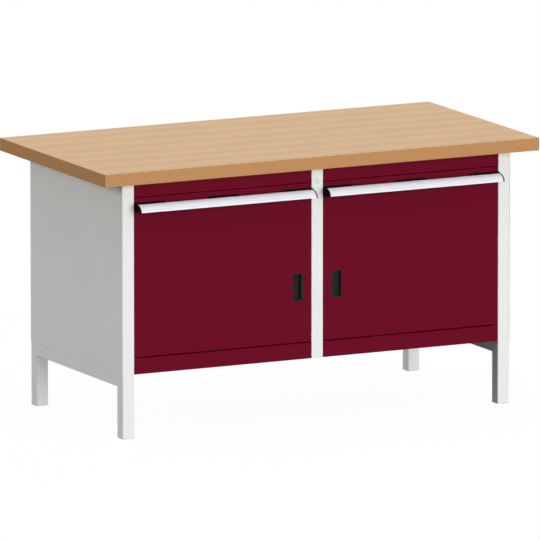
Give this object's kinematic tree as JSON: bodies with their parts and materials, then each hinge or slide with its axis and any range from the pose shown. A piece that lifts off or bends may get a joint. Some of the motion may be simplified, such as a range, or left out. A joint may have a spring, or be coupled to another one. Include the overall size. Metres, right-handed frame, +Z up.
{
  "type": "workbench",
  "caption": "Workshop bench with a thick wooden top on a square-tube frame, and cabinet bays below it that each hold a shallow drawer over a hinged door.",
  "frame": {"origin": "on the floor under the middle of the worktop", "axes": "+X along the bench to the right, +Y to the back, +Z up"},
  "size_m": [1.5, 0.75, 0.84],
  "materials": {
    "beech": "satin oiled",
    "grey_paint": "satin powder coat",
    "burgundy_paint": "satin powder coat",
    "zinc_plate": "bright zinc plate",
    "black_plastic": "matte moulded",
    "anodised_aluminium": "satin anodised",
    "grey_plastic": "matte moulded",
    "nickel_plate": "satin nickel plate"
  },
  "bodies": {
    "bench": {"worktop": "beech", "leg_front_left": "grey_paint", "leg_front_right": "grey_paint", "leg_rear_left": "grey_paint", "leg_rear_right": "grey_paint", "lower_side_rail_left": "grey_paint", "lower_side_rail_right": "grey_paint", "upper_side_rail_left": "grey_paint", "upper_side_rail_right": "grey_paint", "side_skin_left": "grey_paint", "side_skin_right": "grey_paint", "rear_top_rail": "grey_paint", "centre_post": "grey_paint", "back_panel": "grey_paint", "outer_wall_left": "grey_paint", "inner_wall_left": "grey_paint", "cabinet_floor_left": "grey_paint", "shelf_left": "grey_paint", "outer_wall_right": "grey_paint", "inner_wall_right": "grey_paint", "cabinet_floor_right": "grey_paint", "shelf_right": "grey_paint", "fascia_left": "burgundy_paint", "plinth_left": "burgundy_paint", "door_pivot_left_upper": "burgundy_paint", "door_pivot_left_lower": "burgundy_paint", "fascia_right": "burgundy_paint", "plinth_right": "burgundy_paint", "door_pivot_right_upper": "burgundy_paint", "door_pivot_right_lower": "burgundy_paint", "cabinet_runner_left_outer": "zinc_plate", "cabinet_runner_left_inner": "zinc_plate", "cabinet_runner_right_outer": "zinc_plate", "cabinet_runner_right_inner": "zinc_plate", "foot_glide_front_left": "grey_plastic", "foot_glide_front_right": "grey_plastic", "foot_glide_rear_left": "grey_plastic", "foot_glide_rear_right": "grey_plastic"},
    "left_drawer": {"drawer_front_left": "burgundy_paint", "drawer_tray_left": "grey_paint", "drawer_runner_left_outer": "zinc_plate", "drawer_runner_left_inner": "zinc_plate", "grip_bar_left": "anodised_aluminium", "grip_end_cap_left_left": "black_plastic", "grip_end_cap_left_right": "black_plastic", "grip_clip_left": "black_plastic"},
    "left_door": {"door_left": "burgundy_paint", "door_pull_left": "black_plastic"},
    "right_drawer": {"drawer_front_right": "burgundy_paint", "drawer_tray_right": "grey_paint", "drawer_runner_right_outer": "zinc_plate", "drawer_runner_right_inner": "zinc_plate", "grip_bar_right": "anodised_aluminium", "grip_end_cap_right_left": "black_plastic", "grip_end_cap_right_right": "black_plastic", "grip_clip_right": "black_plastic"},
    "right_door": {"door_right": "burgundy_paint", "door_pull_right": "black_plastic"},
    "lock": {"lock_cylinder": "nickel_plate"}
  },
  "joints": [
    {"name": "left_drawer_slide", "type": "slide", "parent": "bench", "child": "left_drawer", "axis": [0, -1, 0], "range_m": [0, 0.4]},
    {"name": "left_door_hinge", "type": "hinge", "parent": "bench", "child": "left_door", "pos_m": [-0.615, -0.325, 0.48], "axis": [0, 0, -1], "range_deg": [0, 110]},
    {"name": "right_drawer_slide", "type": "slide", "parent": "bench", "child": "right_drawer", "axis": [0, -1, 0], "range_m": [0, 0.4]},
    {"name": "right_door_hinge", "type": "hinge", "parent": "bench", "child": "right_door", "pos_m": [0.615, -0.325, 0.48], "axis": [0, 0, 1], "range_deg": [0, 110]},
    {"name": "lock_turn", "type": "hinge", "parent": "bench", "child": "lock", "pos_m": [0, -0.33, 0.755], "axis": [0, 1, 0], "range_deg": [0, 90]}
  ]
}
